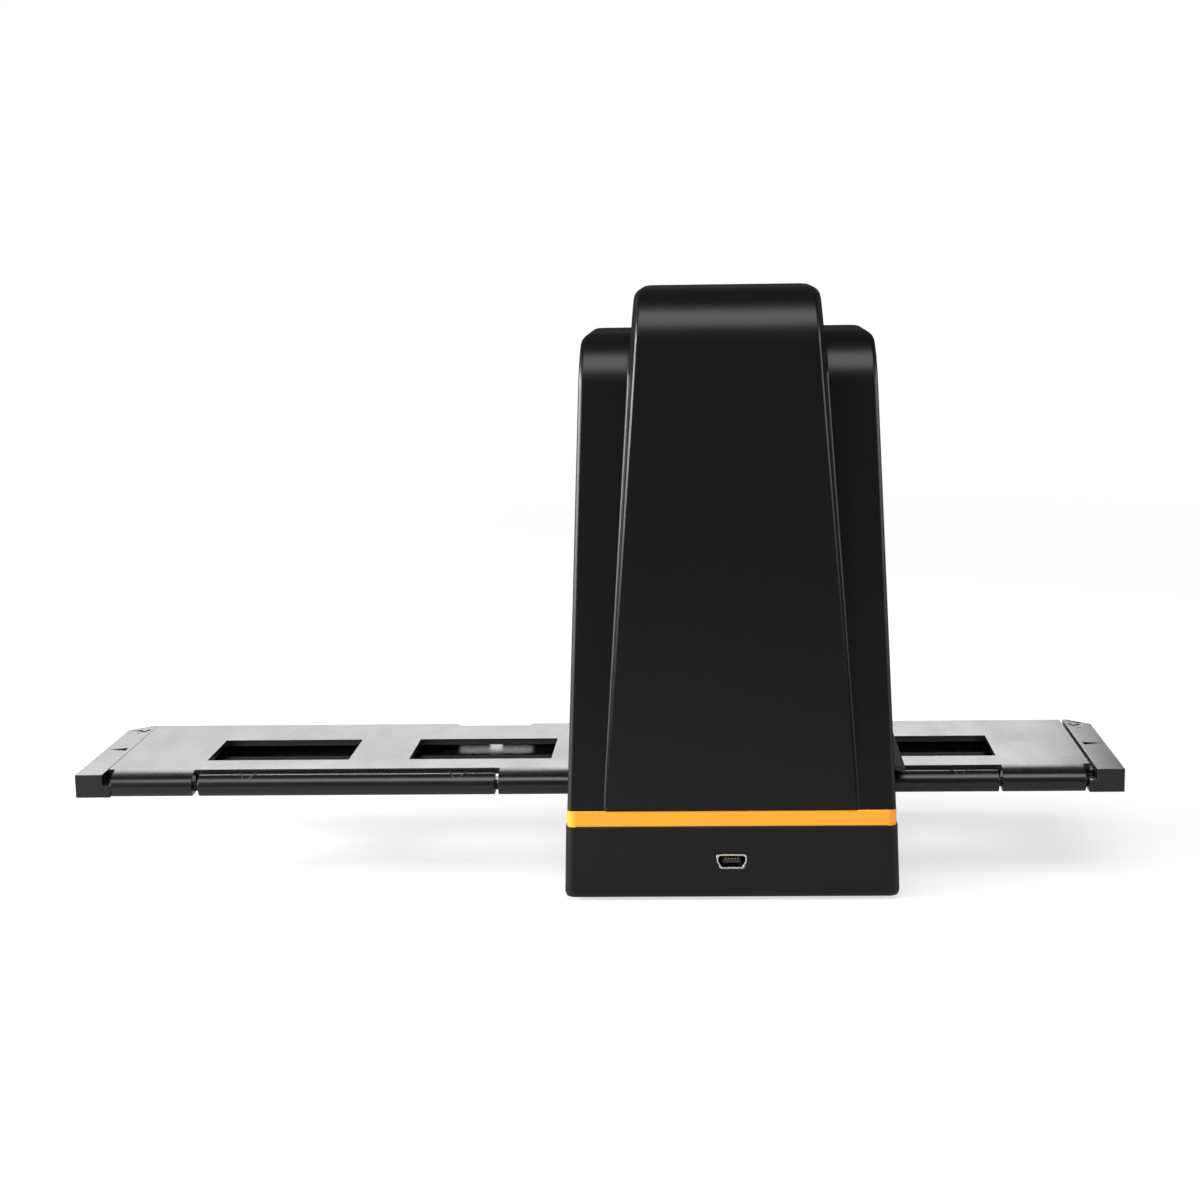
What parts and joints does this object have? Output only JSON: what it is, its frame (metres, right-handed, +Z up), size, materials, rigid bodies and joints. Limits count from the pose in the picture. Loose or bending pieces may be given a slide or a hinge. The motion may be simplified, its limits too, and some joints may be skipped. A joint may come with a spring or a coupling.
{
  "type": "film and slide scanner",
  "caption": "Tower-shaped desktop scanner for film and slides, with a long hinged holder that slides through a slot above its base.",
  "frame": {"origin": "centre of the tower's footprint on the surface it stands on, the plane of its four feet", "axes": "+X along the holder, +Y from the socket side to the button side, +Z up"},
  "size_m": [0.281, 0.086, 0.1588],
  "materials": {
    "case_black": "satin black moulded ABS",
    "foot_rubber": "soft black rubber",
    "band_orange": "glossy orange moulded ABS",
    "button_silver": "silver painted cap",
    "bezel_chrome": "plated ring",
    "steel": "zinc plated or bright steel",
    "board_green": "glass fibre board with solder mask",
    "chip_black": "moulded epoxy or nylon",
    "capacitor_metal": "aluminium can",
    "white_plastic": "white moulded plastic",
    "led_lens": "phosphor filled epoxy",
    "clear_plastic": "clear acrylic",
    "lens_glass": "coated glass",
    "socket_metal": "nickel plated steel",
    "contact_gold": "gold plated bronze",
    "inner_black": "light-absorbing moulded plastic",
    "flap_black": "satin moulded plastic",
    "ribbon_white": "polyester film",
    "holder_black": "satin moulded polystyrene"
  },
  "bodies": {
    "case": {"base_case": "case_black", "rubber_feet": "foot_rubber", "accent_band": "band_orange", "rear_shell": "case_black", "front_shell": "case_black", "button_bezel": "bezel_chrome", "button_spring": "steel", "button_board": "board_green", "tact_switch": "chip_black", "status_led": "led_lens", "light_pipe": "clear_plastic", "main_board": "board_green", "image_processor": "chip_black", "memory_chip": "chip_black", "capacitors": "capacitor_metal", "ribbon_connectors": "white_plastic", "socket_shell": "socket_metal", "socket_tongue": "chip_black", "socket_contacts": "contact_gold", "backlight_header": "chip_black", "light_box": "white_plastic", "led_board": "white_plastic", "white_leds": "led_lens", "diffuser_plate": "white_plastic", "film_stage": "inner_black", "upper_gate": "inner_black", "detent_spring": "steel", "flap_pins": "steel", "flap_springs": "steel", "light_tunnel": "inner_black", "camera_bracket": "inner_black", "lens_barrel": "chip_black", "lens_elements": "lens_glass", "infrared_filter": "lens_glass", "image_sensor": "chip_black", "sensor_board": "board_green", "sensor_cable": "ribbon_white", "button_cable": "ribbon_white", "case_screws": "steel", "stage_screws": "steel", "gate_screws": "steel", "board_screws": "steel", "bracket_screws": "steel"},
    "holder": {"holder_tray": "holder_black", "hinge_rod": "steel"},
    "lid": {"holder_lid": "holder_black"},
    "button": {"scan_button": "button_silver"},
    "right_flap": {"right_dust_flap": "flap_black"},
    "left_flap": {"left_dust_flap": "flap_black"},
    "detent": {"detent_ball": "steel"}
  },
  "joints": [
    {"name": "holder_slide", "type": "slide", "parent": "case", "child": "holder", "axis": [1, 0, 0], "range_m": [-0.125, 0.2]},
    {"name": "lid_hinge", "type": "hinge", "parent": "holder", "child": "lid", "pos_m": [-0.036, -0.0258, 0.0276], "axis": [1, 0, 0], "range_deg": [0, 0.2]},
    {"name": "scan_button_press", "type": "slide", "parent": "case", "child": "button", "axis": [0, -1, 0], "range_m": [0, 0.0012], "stiffness_N_per_m": 500, "springref_m": -0.001, "deforming": ["button_spring"]},
    {"name": "right_flap_hinge", "type": "hinge", "parent": "case", "child": "right_flap", "pos_m": [0.03757, 0, 0.0353], "axis": [0, -1, 0], "range_deg": [0, 6], "stiffness_Nm_per_rad": 0.001, "springref_deg": -28.65},
    {"name": "left_flap_hinge", "type": "hinge", "parent": "case", "child": "left_flap", "pos_m": [-0.03757, 0, 0.0353], "axis": [0, -1, 0], "range_deg": [0, 6], "stiffness_Nm_per_rad": 0.001, "springref_deg": -28.65},
    {"name": "detent_press", "type": "slide", "parent": "case", "child": "detent", "axis": [0, 0, 1], "range_m": [-0.0006, 0], "stiffness_N_per_m": 300, "springref_m": 0.001, "deforming": ["detent_spring"]}
  ]
}
